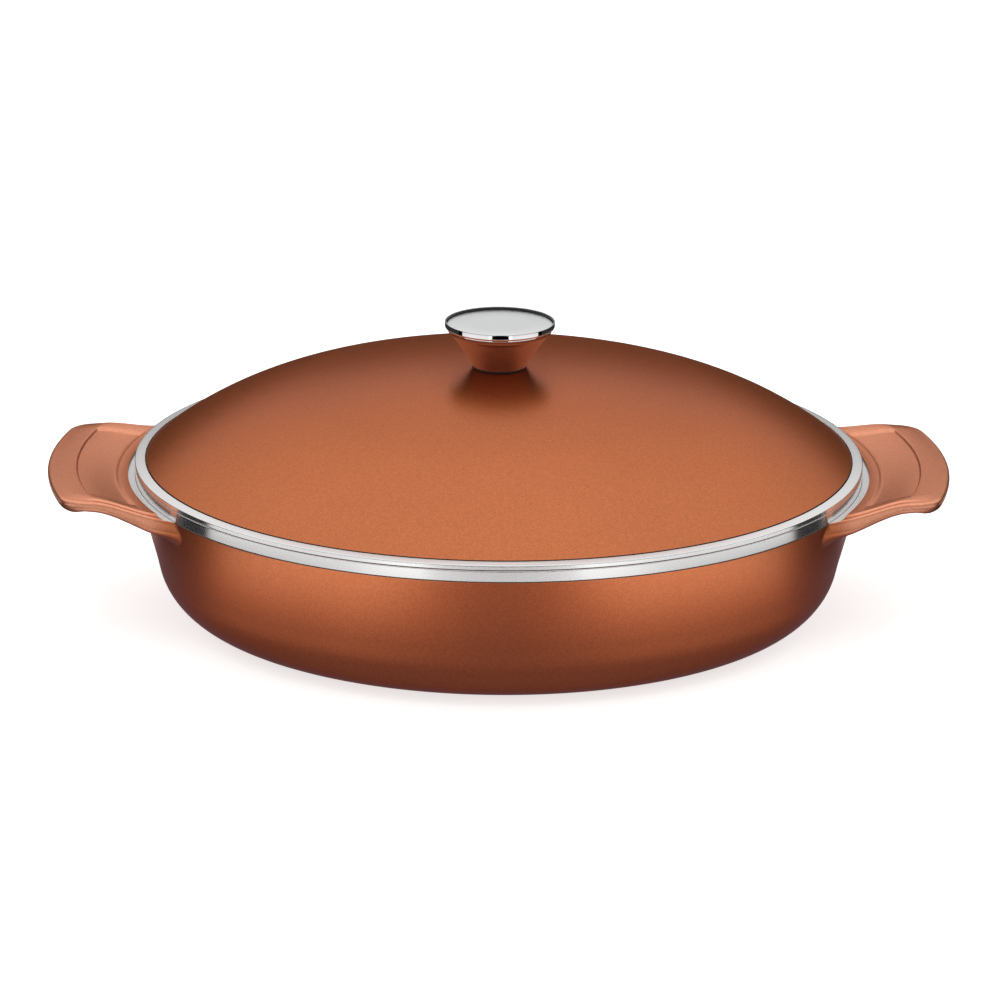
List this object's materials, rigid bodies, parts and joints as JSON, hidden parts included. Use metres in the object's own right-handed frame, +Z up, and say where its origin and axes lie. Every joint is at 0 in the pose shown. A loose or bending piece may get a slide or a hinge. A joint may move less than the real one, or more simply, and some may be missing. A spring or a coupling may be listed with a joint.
{
  "type": "lidded frying pan",
  "caption": "Shallow round cast pan with a wing handle on each side and a domed lid with a conical metal knob, for frying and braising on a stovetop.",
  "frame": {"origin": "centre of the flat base, on the surface that the pan stands on", "axes": "+Z up along the pan's axis, +X along the two handles, the pictured side faces -Y"},
  "size_m": [0.4116, 0.333, 0.1345],
  "materials": {
    "copper_coating": "copper-coloured metallic coating on cast aluminium, satin, with fine flakes",
    "lid_coating": "copper-coloured metallic coating on cast aluminium, satin, with fine flakes",
    "polished_metal": "mirror-polished",
    "satin_metal": "satin",
    "plain_steel": "plain stainless steel",
    "insert_brass": "plain turned brass",
    "black_plastic": "moulded heat-resisting plastic",
    "dark_silicone": "matt silicone"
  },
  "bodies": {
    "pan": {"pan_casting": "copper_coating"},
    "lid": {"lid_casting": "lid_coating", "knob_shell": "polished_metal", "knob_top_disc": "satin_metal", "knob_core": "black_plastic", "knob_insert": "insert_brass", "knob_foot_gasket": "dark_silicone", "knob_screw": "plain_steel", "screw_washer": "plain_steel", "screw_seal": "dark_silicone"}
  },
  "joints": [
    {"name": "lid_lift", "type": "slide", "parent": "pan", "child": "lid", "axis": [0, 0, 1], "range_m": [0, 0.15]}
  ]
}
